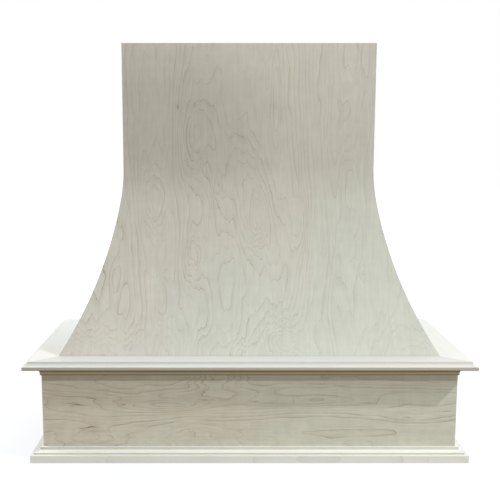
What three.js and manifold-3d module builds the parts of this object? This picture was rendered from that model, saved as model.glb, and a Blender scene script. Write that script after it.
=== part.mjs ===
// A wall-hung wooden cover for a kitchen range hood, in unfinished maple.
//
// A flared body of three bent plywood skins stands on a moulded ledge. The ledge caps a straight
// box, the apron, with a cove moulding under it and a base moulding round the apron's foot.
// Inside, ribs and rails carry the skins, and cleats round the apron take a ventilation insert.
// The back is open, and four rails there have holes for the screws that hold it to the wall.
//
// Millimetres, +Z up, front towards -Y. The origin is under the middle of the overall box, at the
// level of the underside.

import * as THREE from "three";
import { mergeVertices } from "three/addons/utils/BufferGeometryUtils.js";
import Module from "manifold-3d";

const wasm = await Module();
wasm.setup();

// ---------------------------------------------------------------- driving dimensions

const INCH = 25.4;
const GLUE_LINE = 0.3; // between any two pieces that are glued or screwed together

// Apron: the straight box at the bottom
const APRON_WIDTH = 36 * INCH; // across its outer faces
const APRON_DEPTH = 19.5 * INCH; // from the wall to its front face
const APRON_HEIGHT = 210.5;
const APRON_BOARD = 19;

// Ledge: the moulded shelf on the apron
const LEDGE_THICKNESS = 17.5;
const LEDGE_OVERHANG = 36.5; // past the apron's faces
const LEDGE_BOARD_WIDTH = 150;
const LEDGE_NOSE_HEIGHT = 7.8; // the upright band along the tip
const LEDGE_NOSE_RADIUS = 2.2; // its lower arris
const LEDGE_COVE_RUN = 11.2;
const LEDGE_QUIRK = 1.5; // the small upright step above the cove

// Cove moulding under the ledge
const BED_HEIGHT = 17;
const BED_HEAD_PROJECTION = 11;
const BED_FOOT_PROJECTION = 3;
const BED_FILLET = 2.2; // the upright bands above and below the cove

// Base moulding round the apron's foot
const BASE_PROJECTION = 26;
const BASE_FASCIA_HEIGHT = 16.6;
const BASE_TREAD = 8; // the flat on the fascia
const BASE_LOWER_STEP = 4.6;
const BASE_COVE_RUN = 11.5;
const BASE_COVE_HEIGHT = 5.2;
const BASE_UPPER_STEP = 4.6;

// Flared body
const OVERALL_HEIGHT = 36 * INCH;
const FOOT_MARGIN = 70; // ledge left showing round the body's foot
const FLARE_REACH = 138; // how far the foot stands out past the neck, on three sides
const NECK_HEIGHT = 274; // the upright part at the top
const UPPER_ARC_RADIUS = 420;
const UPPER_ARC_SWEEP = THREE.MathUtils.degToRad(10.5);
const SKIN_THICKNESS = 9.5;

// Ribs and frames inside the body
const RIB_THICKNESS = 18;
const RIB_WIDTH = 60;
const FRONT_RIBS = ["left", "middle", "right"];
const SOLE_THICKNESS = 19;
const SOLE_WIDTH = 60;
const TOP_RAIL_THICKNESS = 19;
const TOP_RAIL_WIDTH = 45;
const HANGING_RAIL_THICKNESS = 18;
const HANGING_RAIL_HEIGHT = 95;

// Rails, blocks and cleats inside the apron
const BACK_RAIL_THICKNESS = 19;
const BACK_RAIL_HEIGHT = 80;
const CORNER_BLOCK = 32; // square section
const CORNER_BLOCK_LIFT = 22; // above the apron's lower edge
const CLEAT_THICKNESS = 19;
const CLEAT_HEIGHT = 30;
const CLEAT_LIFT = 38; // above the apron's lower edge

// Wood screws, and the holes for the screws that go into the wall
const SCREW_RADIUS = 2;
const SCREW_HEAD_RADIUS = 4.2;
const SCREW_HEAD_HEIGHT = 2.4;
const SCREW_POINT = 6;
const SCREW_SOCKET = 2.8; // square drive
const SCREW_SOCKET_DEPTH = 1.6;
const SCREW_SINK = 0.5; // head below the surface
const SCREW_GRIP_LEFT = 4; // wood left beyond the point
const FRONT_SOLE_SCREWS = [-260, 0, 260]; // across the front
const SIDE_SOLE_SCREWS = [95, 300]; // from the wall
const BLOCK_SCREW_TO_END = 110; // below the apron's top
const BLOCK_SCREW_TO_SIDE = 50;
const WALL_HOLE_RADIUS = 3.5;
const WALL_HOLE_FROM_END = 60;

// How finely curves are cut into flats
const FLARE_FLAT = 16; // height of one flat
const COVE_FLATS = 8;
const NOSE_FLATS = 4;
const ROUND_SIDES = 12;

// ---------------------------------------------------------------- places that follow

const SIDES = [
  ["left", -1],
  ["right", 1],
];

const wallY = (APRON_DEPTH + LEDGE_OVERHANG) / 2;
const tipY = -wallY;
const apronHalf = APRON_WIDTH / 2;
const apronFrontY = wallY - APRON_DEPTH;
const apronFaces = { half: apronHalf, frontY: apronFrontY };

const ledgeBottom = APRON_HEIGHT + GLUE_LINE;
const ledgeTop = ledgeBottom + LEDGE_THICKNESS;

const neckInset = FOOT_MARGIN + FLARE_REACH - LEDGE_OVERHANG; // behind the apron's faces
const neckHalf = apronHalf - neckInset;
const neckFrontY = apronFrontY + neckInset;
const neckFaces = { half: neckHalf, frontY: neckFrontY };
const flareTop = OVERALL_HEIGHT - NECK_HEIGHT;
const flareFoot = ledgeTop + GLUE_LINE;

const soleTop = flareFoot + SOLE_THICKNESS;
const ribBottom = soleTop + GLUE_LINE;
const topRailBottom = OVERALL_HEIGHT - TOP_RAIL_THICKNESS;
const ribTop = topRailBottom - GLUE_LINE;

// Depths below the outer face of the skins
const ribOuterEdge = SKIN_THICKNESS + GLUE_LINE;
const ribInnerEdge = ribOuterEdge + RIB_WIDTH;

// The inner faces of the apron, less a glue line
const insideX = apronHalf - APRON_BOARD - GLUE_LINE;
const insideFrontY = apronFrontY + APRON_BOARD + GLUE_LINE;
const insideBackY = wallY - BACK_RAIL_THICKNESS - GLUE_LINE;

// ---------------------------------------------------------------- the flare

// The outer face of the body is upright down to flareTop. It then turns outwards on an arc of
// UPPER_ARC_RADIUS, and a flatter arc, tangent to the first, brings it out to the foot.
const [kneeSin, kneeCos] = [Math.sin(UPPER_ARC_SWEEP), Math.cos(UPPER_ARC_SWEEP)];
const kneeDrop = UPPER_ARC_RADIUS * kneeSin;
const kneeReach = UPPER_ARC_RADIUS * (1 - kneeCos);
const lowerDrop = flareTop - flareFoot - kneeDrop;
const lowerReach = FLARE_REACH - kneeReach;
const lowerRadius =
  (lowerDrop ** 2 + lowerReach ** 2) / (2 * (lowerReach * kneeCos - lowerDrop * kneeSin));
const lowerCentreZ = flareTop - kneeDrop + lowerRadius * kneeSin;
const lowerCentreReach = kneeReach + lowerRadius * kneeCos;

// How far the surface that lies `depth` below the outer face stands out from the neck at height z.
function reachAt(z, depth) {
  if (z >= flareTop) {
    return -depth;
  }
  if (z >= flareTop - kneeDrop - depth * kneeSin) {
    return UPPER_ARC_RADIUS - Math.sqrt((UPPER_ARC_RADIUS + depth) ** 2 - (flareTop - z) ** 2);
  }
  return lowerCentreReach - Math.sqrt((lowerRadius + depth) ** 2 - (lowerCentreZ - z) ** 2);
}

// Points [reach, z] down that surface, from height `top` to height `bottom`.
function flareCurve(depth, top, bottom) {
  const bend = THREE.MathUtils.clamp(flareTop, bottom, top);
  const heights = bend < top ? [top, bend] : [top];
  const flats = Math.ceil((bend - bottom) / FLARE_FLAT);
  for (let i = 1; i <= flats; i++) {
    heights.push(THREE.MathUtils.lerp(bend, bottom, i / flats));
  }
  return heights.map((z) => [reachAt(z, depth), z]);
}

// The section of what fills the space between two depths, from height `top` to height `bottom`.
function layerSection(outerDepth, innerDepth, top, bottom) {
  const outer = flareCurve(outerDepth, top, bottom);
  const inner = flareCurve(innerDepth, top, bottom);
  return [...outer, ...inner.reverse()];
}

// ---------------------------------------------------------------- sections and solids

// Points on an elliptical arc about [reach, z].
function arc([reach, z], [radiusReach, radiusZ], from, to, flats) {
  return Array.from({ length: flats + 1 }, (_, i) => {
    const angle = THREE.MathUtils.lerp(from, to, i / flats);
    return [reach + radiusReach * Math.cos(angle), z + radiusZ * Math.sin(angle)];
  });
}

// A section is a closed outline of [reach, z] points. Reach is measured outwards from a face.
// It is swept from along = 0 to along = 1, and place(reach, z, along) says where each point goes.
function sweep(section, place) {
  const shape = new THREE.Shape(section.map(([reach, z]) => new THREE.Vector2(reach, z)));
  const geometry = new THREE.ExtrudeGeometry(shape, { depth: 1, bevelEnabled: false });
  const position = geometry.getAttribute("position");
  for (let i = 0; i < position.count; i++) {
    position.setXYZ(i, ...place(position.getX(i), position.getY(i), position.getZ(i)));
  }
  geometry.deleteAttribute("uv");
  if (volumeOf(position) < 0) {
    turnRound(position);
  }
  geometry.computeVertexNormals();
  return geometry;
}

// Six times the volume inside a list of triangles, negative where they face inwards.
function volumeOf(position) {
  const corners = [new THREE.Vector3(), new THREE.Vector3(), new THREE.Vector3()];
  let volume = 0;
  for (let i = 0; i < position.count; i += 3) {
    corners.forEach((corner, k) => corner.fromBufferAttribute(position, i + k));
    volume += corners[0].dot(corners[1].cross(corners[2]));
  }
  return volume;
}

// Swaps two corners of every triangle, which makes it face the other way.
function turnRound(position) {
  const [second, third] = [new THREE.Vector3(), new THREE.Vector3()];
  for (let i = 0; i < position.count; i += 3) {
    second.fromBufferAttribute(position, i + 1);
    third.fromBufferAttribute(position, i + 2);
    position.setXYZ(i + 1, ...third.toArray());
    position.setXYZ(i + 2, ...second.toArray());
  }
}

// How far each side of a mitre stands back, along its piece, to leave a glue line.
const mitreBack = (GLUE_LINE / 2) * Math.SQRT2;

// A piece across the front, mitred at both ends.
function frontRun(section, { half, frontY }) {
  return sweep(section, (reach, z, along) => [
    (2 * along - 1) * (half + reach - mitreBack),
    frontY - reach,
    z,
  ]);
}

// A piece down one side, mitred at the front and square at the wall.
function sideRun(section, side, { half, frontY }) {
  return sweep(section, (reach, z, along) => [
    side * (half + reach),
    THREE.MathUtils.lerp(frontY - reach + mitreBack, wallY, along),
    z,
  ]);
}

// A square-cut slice of the front between two x, or of one side between two y.
function frontSlice(section, { frontY }, x0, x1) {
  return sweep(section, (reach, z, along) => [
    THREE.MathUtils.lerp(x0, x1, along),
    frontY - reach,
    z,
  ]);
}
function sideSlice(section, side, { half }, y0, y1) {
  return sweep(section, (reach, z, along) => [
    side * (half + reach),
    THREE.MathUtils.lerp(y0, y1, along),
    z,
  ]);
}

// A square-cut board between three pairs of limits.
function boardGeometry([x0, x1], [y0, y1], [z0, z1]) {
  const box = new THREE.BoxGeometry(Math.abs(x1 - x0), y1 - y0, z1 - z0);
  return box.translate((x0 + x1) / 2, (y0 + y1) / 2, (z0 + z1) / 2);
}

// three.js geometry to a manifold-3d solid, and back.
function solidFrom(geometry, matrix = new THREE.Matrix4()) {
  const bare = new THREE.BufferGeometry();
  const triangles = geometry.index ? geometry.toNonIndexed() : geometry;
  bare.setAttribute("position", triangles.getAttribute("position").clone());
  bare.applyMatrix4(matrix);
  const merged = mergeVertices(bare, 1e-3);
  const vertProperties = merged.getAttribute("position").array;
  const triVerts = new Uint32Array(merged.index.array);
  return new wasm.Manifold(new wasm.Mesh({ numProp: 3, vertProperties, triVerts }));
}
function geometryFrom(solid) {
  const { vertProperties, triVerts } = solid.getMesh();
  const geometry = new THREE.BufferGeometry();
  geometry.setAttribute("position", new THREE.BufferAttribute(vertProperties, 3));
  geometry.setIndex(new THREE.BufferAttribute(triVerts, 1));
  geometry.computeVertexNormals();
  return geometry;
}

// A geometry with solids cut out of it.
function cutFrom(geometry, cutters) {
  return geometryFrom(cutters.reduce((rest, cutter) => rest.subtract(cutter), solidFrom(geometry)));
}

// ---------------------------------------------------------------- materials and meshes

const MAPLE_VENEER = { color: 0xc9c4b2, roughness: 0.62, metalness: 0 };
const SOLID_MAPLE = { color: 0xdcd9cb, roughness: 0.58, metalness: 0 };
const PLYWOOD = { color: 0xc6a87c, roughness: 0.75, metalness: 0 };
const POPLAR = { color: 0xcbbd94, roughness: 0.72, metalness: 0 };
const ZINC_STEEL = { color: 0xb9bcc0, roughness: 0.38, metalness: 0.9 };

function piece(name, geometry, finish) {
  const mesh = new THREE.Mesh(geometry, new THREE.MeshStandardMaterial(finish));
  mesh.name = name;
  return mesh;
}

function groupOf(...meshes) {
  return new THREE.Group().add(...meshes.flat());
}

// The front, left and right pieces of what runs round three sides, mitred at the corners.
// `holes` may list the solids to cut out of each, in that order.
function threeSides(name, section, faces, finish, holes = [[], [], []]) {
  const runs = [
    ["front", frontRun(section, faces)],
    ...SIDES.map(([word, side]) => [word, sideRun(section, side, faces)]),
  ];
  return runs.map(([word, run], i) => {
    const geometry = holes[i].length > 0 ? cutFrom(run, holes[i]) : run;
    return piece(`${name}_${word}`, geometry, finish);
  });
}

// ---------------------------------------------------------------- wood screws

// A countersunk wood screw with its point at the origin and its head up +Z.
function screwGeometry(length) {
  const profile = [
    [0, 0],
    [SCREW_RADIUS, SCREW_POINT],
    [SCREW_RADIUS, length - SCREW_HEAD_HEIGHT],
    [SCREW_HEAD_RADIUS, length],
    [0, length],
  ];
  const socket = new THREE.BoxGeometry(SCREW_SOCKET, SCREW_SOCKET, 2 * SCREW_SOCKET_DEPTH);
  return cutFrom(turned(profile), [solidFrom(socket.translate(0, 0, length))]);
}

// The hole that such a screw needs, open above the head.
function screwHoleGeometry(length) {
  const shank = SCREW_RADIUS + GLUE_LINE;
  const head = SCREW_HEAD_RADIUS + GLUE_LINE;
  const mouth = length + 2 * SCREW_SINK;
  return turned([
    [0, -GLUE_LINE],
    [shank, SCREW_POINT],
    [shank, length - SCREW_HEAD_HEIGHT],
    [head, length],
    [head, mouth],
    [0, mouth],
  ]);
}

// A solid of revolution about +Z, from a profile of [radius, z] points.
function turned(profile) {
  const points = profile.map(([radius, z]) => new THREE.Vector2(radius, z));
  return new THREE.LatheGeometry(points, ROUND_SIDES).rotateX(Math.PI / 2);
}

// A screw driven at `entry`, in `direction`, through boards of the given total thickness.
function drive(name, entry, direction, thickness) {
  const length = thickness - SCREW_SINK - SCREW_GRIP_LEFT;
  const point = entry.clone().addScaledVector(direction, SCREW_SINK + length);
  const up = new THREE.Vector3(0, 0, 1);
  const turn = new THREE.Quaternion().setFromUnitVectors(up, direction.clone().negate());
  return { name, length, point, turn };
}
function holeFor({ length, point, turn }) {
  const matrix = new THREE.Matrix4().compose(point, turn, new THREE.Vector3(1, 1, 1));
  return solidFrom(screwHoleGeometry(length), matrix);
}
function screwMesh({ name, length, point, turn }) {
  const mesh = piece(name, screwGeometry(length), ZINC_STEEL);
  mesh.position.copy(point);
  mesh.quaternion.copy(turn);
  return mesh;
}

// Down through the body's sole into the ledge: a list each for the front, the left and the right.
const down = new THREE.Vector3(0, 0, -1);
const soleGrip = SOLE_THICKNESS + GLUE_LINE + LEDGE_THICKNESS;
const soleMiddle = reachAt(soleTop, ribOuterEdge) - SOLE_WIDTH / 2;
const soleScrews = [
  FRONT_SOLE_SCREWS.map((x, i) => {
    const entry = new THREE.Vector3(x, neckFrontY - soleMiddle, soleTop);
    return drive(`sole_screw_front_${i + 1}`, entry, down, soleGrip);
  }),
  ...SIDES.map(([word, side]) =>
    SIDE_SOLE_SCREWS.map((fromWall, i) => {
      const entry = new THREE.Vector3(side * (neckHalf + soleMiddle), wallY - fromWall, soleTop);
      return drive(`sole_screw_${word}_${i + 1}`, entry, down, soleGrip);
    }),
  ),
];
const soleHoles = soleScrews.map((row) => row.map(holeFor));

// Through each corner block: one screw out through the front or back, one out through the side.
const ENDS = [
  ["front", -1, insideFrontY],
  ["rear", 1, insideBackY],
];
const blocks = SIDES.flatMap(([word, side]) =>
  ENDS.map(([end, outward, seatY]) => {
    const [innerX, innerY] = [side * (insideX - CORNER_BLOCK), seatY - outward * CORNER_BLOCK];
    const middleX = (side * insideX + innerX) / 2;
    const middleY = (seatY + innerY) / 2;
    const endBoard = end === "front" ? APRON_BOARD : BACK_RAIL_THICKNESS;
    const endScrew = drive(
      `block_screw_${end}_${word}_1`,
      new THREE.Vector3(middleX, innerY, APRON_HEIGHT - BLOCK_SCREW_TO_END),
      new THREE.Vector3(0, outward, 0),
      CORNER_BLOCK + GLUE_LINE + endBoard,
    );
    const sideScrew = drive(
      `block_screw_${end}_${word}_2`,
      new THREE.Vector3(innerX, middleY, APRON_HEIGHT - BLOCK_SCREW_TO_SIDE),
      new THREE.Vector3(side, 0, 0),
      CORNER_BLOCK + GLUE_LINE + APRON_BOARD,
    );
    return { end, word, side, middleX, middleY, endScrew, sideScrew };
  }),
);

// ---------------------------------------------------------------- apron

function apronBoards() {
  const section = [
    [0, 0],
    [0, APRON_HEIGHT],
    [-APRON_BOARD, APRON_HEIGHT],
    [-APRON_BOARD, 0],
  ];
  const frontHoles = blocks.filter((b) => b.end === "front").map((b) => holeFor(b.endScrew));
  const sideHoles = SIDES.map(([word]) =>
    blocks.filter((b) => b.word === word).map((b) => holeFor(b.sideScrew)),
  );
  return threeSides("apron", section, apronFaces, MAPLE_VENEER, [frontHoles, ...sideHoles]);
}

function cornerBlocks() {
  const height = APRON_HEIGHT - CORNER_BLOCK_LIFT;
  return blocks.map(({ end, word, middleX, middleY, endScrew, sideScrew }) => {
    const post = new THREE.BoxGeometry(CORNER_BLOCK, CORNER_BLOCK, height);
    post.translate(middleX, middleY, CORNER_BLOCK_LIFT + height / 2);
    const geometry = cutFrom(post, [holeFor(endScrew), holeFor(sideScrew)]);
    return piece(`corner_block_${end}_${word}`, geometry, POPLAR);
  });
}

// Three holes right through a rail at the wall, at height z: one in the middle and one near
// each end, where endX is the rail's half length.
function wallHoles(endX, z) {
  const outer = endX - WALL_HOLE_FROM_END;
  return [-outer, 0, outer].map((x) => {
    const reach = 4 * Math.max(BACK_RAIL_THICKNESS, HANGING_RAIL_THICKNESS);
    const bar = new THREE.CylinderGeometry(WALL_HOLE_RADIUS, WALL_HOLE_RADIUS, reach, ROUND_SIDES);
    return solidFrom(bar, new THREE.Matrix4().makeTranslation(x, wallY, z));
  });
}

// Two rails across the open back of the apron, one at the bottom and one at the top.
function backRails() {
  const blockHoles = blocks.filter((b) => b.end === "rear").map((b) => holeFor(b.endScrew));
  const rails = [
    ["lower", 0],
    ["upper", APRON_HEIGHT - BACK_RAIL_HEIGHT],
  ];
  return rails.map(([word, bottom]) => {
    const rail = boardGeometry(
      [-insideX, insideX],
      [wallY - BACK_RAIL_THICKNESS, wallY],
      [bottom, bottom + BACK_RAIL_HEIGHT],
    );
    const holes = [...blockHoles, ...wallHoles(insideX, bottom + BACK_RAIL_HEIGHT / 2)];
    return piece(`back_rail_${word}`, cutFrom(rail, holes), PLYWOOD);
  });
}

// The strips that the flange of a ventilation insert is screwed up to, between the corner blocks.
function insertCleats() {
  const heights = [CLEAT_LIFT, CLEAT_LIFT + CLEAT_HEIGHT];
  const pastBlock = CORNER_BLOCK + GLUE_LINE;
  const acrossX = [pastBlock - insideX, insideX - pastBlock];
  const alongY = [insideFrontY + pastBlock, insideBackY - pastBlock];
  const across = [
    ["front", [insideFrontY, insideFrontY + CLEAT_THICKNESS]],
    ["back", [insideBackY - CLEAT_THICKNESS, insideBackY]],
  ].map(([word, faces]) => [word, boardGeometry(acrossX, faces, heights)]);
  const along = SIDES.map(([word, side]) => {
    const faces = [side * insideX, side * (insideX - CLEAT_THICKNESS)];
    return [word, boardGeometry(faces, alongY, heights)];
  });
  return [...across, ...along].map(([word, strip]) => piece(`insert_cleat_${word}`, strip, POPLAR));
}

// ---------------------------------------------------------------- mouldings and ledge

// The base moulding: a fascia, a flat tread, a step, a hollow and a second step.
function baseMoulding() {
  const stepReach = BASE_PROJECTION - BASE_TREAD;
  const coveBottom = BASE_FASCIA_HEIGHT + BASE_LOWER_STEP;
  const coveTop = coveBottom + BASE_COVE_HEIGHT;
  const top = coveTop + BASE_UPPER_STEP;
  const coveRadii = [BASE_COVE_RUN, BASE_COVE_HEIGHT];
  const section = [
    [GLUE_LINE, 0],
    [BASE_PROJECTION, 0],
    [BASE_PROJECTION, BASE_FASCIA_HEIGHT],
    [stepReach, BASE_FASCIA_HEIGHT],
    ...arc([stepReach, coveTop], coveRadii, 1.5 * Math.PI, Math.PI, COVE_FLATS),
    [stepReach - BASE_COVE_RUN, top],
    [GLUE_LINE, top],
  ];
  return threeSides("base_moulding", section, apronFaces, SOLID_MAPLE);
}

// The bed moulding: a hollow between two narrow upright bands, up against the ledge.
function bedMoulding() {
  const bottom = APRON_HEIGHT - BED_HEIGHT;
  const coveRadii = [BED_HEAD_PROJECTION - BED_FOOT_PROJECTION, BED_HEIGHT - 2 * BED_FILLET];
  const coveCentre = [BED_HEAD_PROJECTION, bottom + BED_FILLET];
  const section = [
    [GLUE_LINE, bottom],
    [BED_FOOT_PROJECTION, bottom],
    ...arc(coveCentre, coveRadii, Math.PI, Math.PI / 2, COVE_FLATS),
    [BED_HEAD_PROJECTION, APRON_HEIGHT],
    [GLUE_LINE, APRON_HEIGHT],
  ];
  return threeSides("bed_moulding", section, apronFaces, SOLID_MAPLE);
}

// The ledge: a flat top that drops over a quirk and a hollow to an upright nose.
function ledge() {
  const noseTop = ledgeBottom + LEDGE_NOSE_HEIGHT;
  const coveTop = ledgeTop - LEDGE_QUIRK;
  const coveRadii = [LEDGE_COVE_RUN, coveTop - noseTop];
  const arrisRadii = [LEDGE_NOSE_RADIUS, LEDGE_NOSE_RADIUS];
  const arrisCentre = [LEDGE_OVERHANG - LEDGE_NOSE_RADIUS, ledgeBottom + LEDGE_NOSE_RADIUS];
  const back = LEDGE_OVERHANG - LEDGE_BOARD_WIDTH;
  const section = [
    [back, ledgeBottom],
    ...arc(arrisCentre, arrisRadii, -Math.PI / 2, 0, NOSE_FLATS),
    ...arc([LEDGE_OVERHANG, coveTop], coveRadii, 1.5 * Math.PI, Math.PI, COVE_FLATS),
    [LEDGE_OVERHANG - LEDGE_COVE_RUN, ledgeTop],
    [back, ledgeTop],
  ];
  return threeSides("ledge", section, apronFaces, SOLID_MAPLE, soleHoles);
}

// ---------------------------------------------------------------- body

function skins() {
  const section = layerSection(0, SKIN_THICKNESS, OVERALL_HEIGHT, flareFoot);
  return threeSides("skin", section, neckFaces, MAPLE_VENEER);
}

// The frame at the foot, which the skins and ribs are fixed to and which is screwed to the ledge.
function sole() {
  const innerReach = reachAt(soleTop, ribOuterEdge) - SOLE_WIDTH;
  const section = [
    ...flareCurve(ribOuterEdge, soleTop, flareFoot),
    [innerReach, flareFoot],
    [innerReach, soleTop],
  ];
  return threeSides("sole", section, neckFaces, PLYWOOD, soleHoles);
}

// The frame at the top.
function topFrame() {
  const innerReach = -ribOuterEdge - TOP_RAIL_WIDTH;
  const section = [
    [-ribOuterEdge, topRailBottom],
    [-ribOuterEdge, OVERALL_HEIGHT],
    [innerReach, OVERALL_HEIGHT],
    [innerReach, topRailBottom],
  ];
  const backHalf = neckHalf + innerReach - GLUE_LINE;
  const back = boardGeometry(
    [-backHalf, backHalf],
    [wallY - TOP_RAIL_WIDTH, wallY],
    [topRailBottom, OVERALL_HEIGHT],
  );
  return [
    ...threeSides("top_rail", section, neckFaces, PLYWOOD),
    piece("top_rail_back", back, PLYWOOD),
  ];
}

// The ribs that stand square to the skins: evenly across the front, midway down each side, and
// at the wall.
function squareRibs() {
  const section = layerSection(ribOuterEdge, ribInnerEdge, ribTop, ribBottom);
  const half = RIB_THICKNESS / 2;
  const spacing = (2 * neckHalf) / (FRONT_RIBS.length + 1);
  const middleY = (neckFrontY + wallY) / 2;
  const frontRibs = FRONT_RIBS.map((word, i) => {
    const x = (i + 1) * spacing - neckHalf;
    return piece(`front_rib_${word}`, frontSlice(section, neckFaces, x - half, x + half), PLYWOOD);
  });
  const sideRibs = SIDES.map(([word, side]) => {
    const rib = sideSlice(section, side, neckFaces, middleY - half, middleY + half);
    return piece(`side_rib_${word}`, rib, PLYWOOD);
  });
  const wallRibs = SIDES.map(([word, side]) => {
    const rib = sideSlice(section, side, neckFaces, wallY - RIB_THICKNESS, wallY);
    return piece(`wall_rib_${word}`, rib, PLYWOOD);
  });
  return [...frontRibs, ...sideRibs, ...wallRibs];
}

// The ribs that stand diagonally in the two front corners, bevelled to meet both skins.
function hipRibs() {
  const outermost = FLARE_REACH + RIB_WIDTH;
  const plate = [
    [outermost, ribTop],
    ...flareCurve(ribInnerEdge, ribTop, ribBottom),
    [outermost, ribBottom],
  ];
  const backOfNeck = neckFrontY - wallY;
  const room = [
    [backOfNeck, ribTop],
    ...flareCurve(ribOuterEdge, ribTop, ribBottom),
    [backOfNeck, ribBottom],
  ];
  const behindFront = solidFrom(frontSlice(room, neckFaces, -apronHalf, apronHalf));
  return SIDES.map(([word, side]) => {
    const insideSkin = solidFrom(sideSlice(room, side, neckFaces, tipY, wallY));
    const slab = sweep(plate, (reach, z, along) => {
      const across = ((along - 0.5) * RIB_THICKNESS) / Math.SQRT2;
      return [side * (neckHalf + reach + across), neckFrontY - reach + across, z];
    });
    const rib = solidFrom(slab).intersect(behindFront).intersect(insideSkin);
    return piece(`hip_rib_${word}`, geometryFrom(rib), PLYWOOD);
  });
}

// The two rails between the wall ribs, whose ends follow the ribs' inner edges.
function hangingRails() {
  const levels = [
    ["upper", ribTop - HANGING_RAIL_HEIGHT],
    ["lower", ribBottom],
  ];
  return levels.map(([word, bottom]) => {
    const middle = bottom + HANGING_RAIL_HEIGHT / 2;
    const curve = flareCurve(ribInnerEdge + GLUE_LINE, bottom + HANGING_RAIL_HEIGHT, bottom);
    const rightEnd = curve.map(([reach, z]) => [neckHalf + reach, z]);
    const leftEnd = rightEnd.map(([x, z]) => [-x, z]).reverse();
    const rail = sweep([...rightEnd, ...leftEnd], (x, z, along) => [
      x,
      wallY - along * HANGING_RAIL_THICKNESS,
      z,
    ]);
    const holes = wallHoles(neckHalf + reachAt(middle, ribInnerEdge), middle);
    return piece(`hanging_rail_${word}`, cutFrom(rail, holes), PLYWOOD);
  });
}

// ---------------------------------------------------------------- assembly

const apron = groupOf(apronBoards(), cornerBlocks(), backRails(), insertCleats());
const trim = groupOf(baseMoulding(), bedMoulding(), ledge());
const body = groupOf(skins(), sole(), topFrame(), squareRibs(), hipRibs(), hangingRails());
const blockScrews = blocks.flatMap(({ endScrew, sideScrew }) => [endScrew, sideScrew]);
const fasteners = groupOf([...soleScrews.flat(), ...blockScrews].map(screwMesh));

const hoodCover = groupOf(apron, trim, body, fasteners);

export default hoodCover;
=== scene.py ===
"""Looks for a wooden range hood cover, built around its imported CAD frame.

Everything is in metres, in the CAD frame: x runs across the front, y from the front (low) to
the wall (high), and z up from the underside. A section is drawn as (reach, z), where reach is
measured outwards from a face, and it runs along that face.
"""

from __future__ import annotations

import logging
import math
from dataclasses import dataclass, field, fields, replace
from enum import Enum
from typing import Any, Callable, Iterable, Sequence, Union

import bmesh
import bpy
from bpy.types import Material, Mesh, Node, NodeSocket, NodeTree, Object
from mathutils import Matrix, Vector

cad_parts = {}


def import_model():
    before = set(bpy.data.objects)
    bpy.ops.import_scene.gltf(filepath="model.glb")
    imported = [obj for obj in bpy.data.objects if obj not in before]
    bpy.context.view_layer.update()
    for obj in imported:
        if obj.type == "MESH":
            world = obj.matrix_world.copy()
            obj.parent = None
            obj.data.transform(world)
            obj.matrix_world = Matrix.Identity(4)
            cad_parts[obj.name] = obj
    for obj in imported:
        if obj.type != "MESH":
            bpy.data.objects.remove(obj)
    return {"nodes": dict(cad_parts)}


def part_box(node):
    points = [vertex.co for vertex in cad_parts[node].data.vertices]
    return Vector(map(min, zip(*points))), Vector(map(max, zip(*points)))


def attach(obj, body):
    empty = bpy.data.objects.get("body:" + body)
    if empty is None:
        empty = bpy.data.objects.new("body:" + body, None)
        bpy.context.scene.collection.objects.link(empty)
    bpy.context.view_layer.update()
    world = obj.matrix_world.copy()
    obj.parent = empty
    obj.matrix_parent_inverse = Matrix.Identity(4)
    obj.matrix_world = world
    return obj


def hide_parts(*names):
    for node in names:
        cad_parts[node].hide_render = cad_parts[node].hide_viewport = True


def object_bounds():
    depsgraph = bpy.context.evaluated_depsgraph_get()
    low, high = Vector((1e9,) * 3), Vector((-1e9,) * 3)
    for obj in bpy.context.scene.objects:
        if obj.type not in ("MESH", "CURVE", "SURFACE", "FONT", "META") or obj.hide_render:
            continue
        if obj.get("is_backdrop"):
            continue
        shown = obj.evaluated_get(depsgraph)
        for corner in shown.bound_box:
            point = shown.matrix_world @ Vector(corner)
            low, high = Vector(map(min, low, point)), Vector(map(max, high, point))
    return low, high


log = logging.getLogger("hood_cover")

MM = 0.001
INCH = 25.4 * MM
GLUE_LINE = 0.3 * MM
ARRIS = 0.35 * MM  # how far sharp edges are eased with sandpaper
SHARP = math.radians(28)  # edges sharper than this are eased
CREASE = math.radians(20)  # edges sharper than this are shaded as creases
COPLANAR = math.radians(0.2)  # facets closer than this are one face
LINE_WIDTH = 1.3 * MM  # how far a ring line reaches to each side
SHADE_WIDTH = 7 * MM  # how fast the soft shade beside a ring line dies away
RING_STEP = 0.4 * MM  # how far apart two readings of the rings are taken
RAGGED, PEAKED = 40 * MM, 60 * MM  # how far ring lines are torn and drawn out along the grain
STREAK_WAVE = 9 * MM  # how far a dark streak waves across the grain
EDGE_ON = 0.5  # a face's normal has less than this along a way that it stands edge-on to
UNDERSIDE = -0.2  # a face's normal rises by less than this on the underside

Triple = tuple[float, float, float]
Point = tuple[float, float]
Colour = tuple[float, float, float, float]
ACROSS: Triple = (1.0, 0.0, 0.0)
INWARD: Triple = (0.0, 1.0, 0.0)
UP: Triple = (0.0, 0.0, 1.0)
WHITE: Colour = (1.0, 1.0, 1.0, 1.0)


def shade(*channels: int) -> Colour:
    """Turns an everyday colour, 0 to 255 a channel, into the linear one that shaders use."""
    parts = [channel / 255 for channel in channels]
    return (*(p / 12.92 if p <= 0.04045 else ((p + 0.055) / 1.055) ** 2.4 for p in parts), 1.0)


# ---- nodes


def sign(operation: str, backwards: bool = False) -> Callable[[Term, Number], Term]:
    """Makes an arithmetic sign for terms out of one of the Math node's operations."""
    order = -1 if backwards else 1
    return lambda term, other: term.graph.math(operation, *(term, other)[::order])


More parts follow.
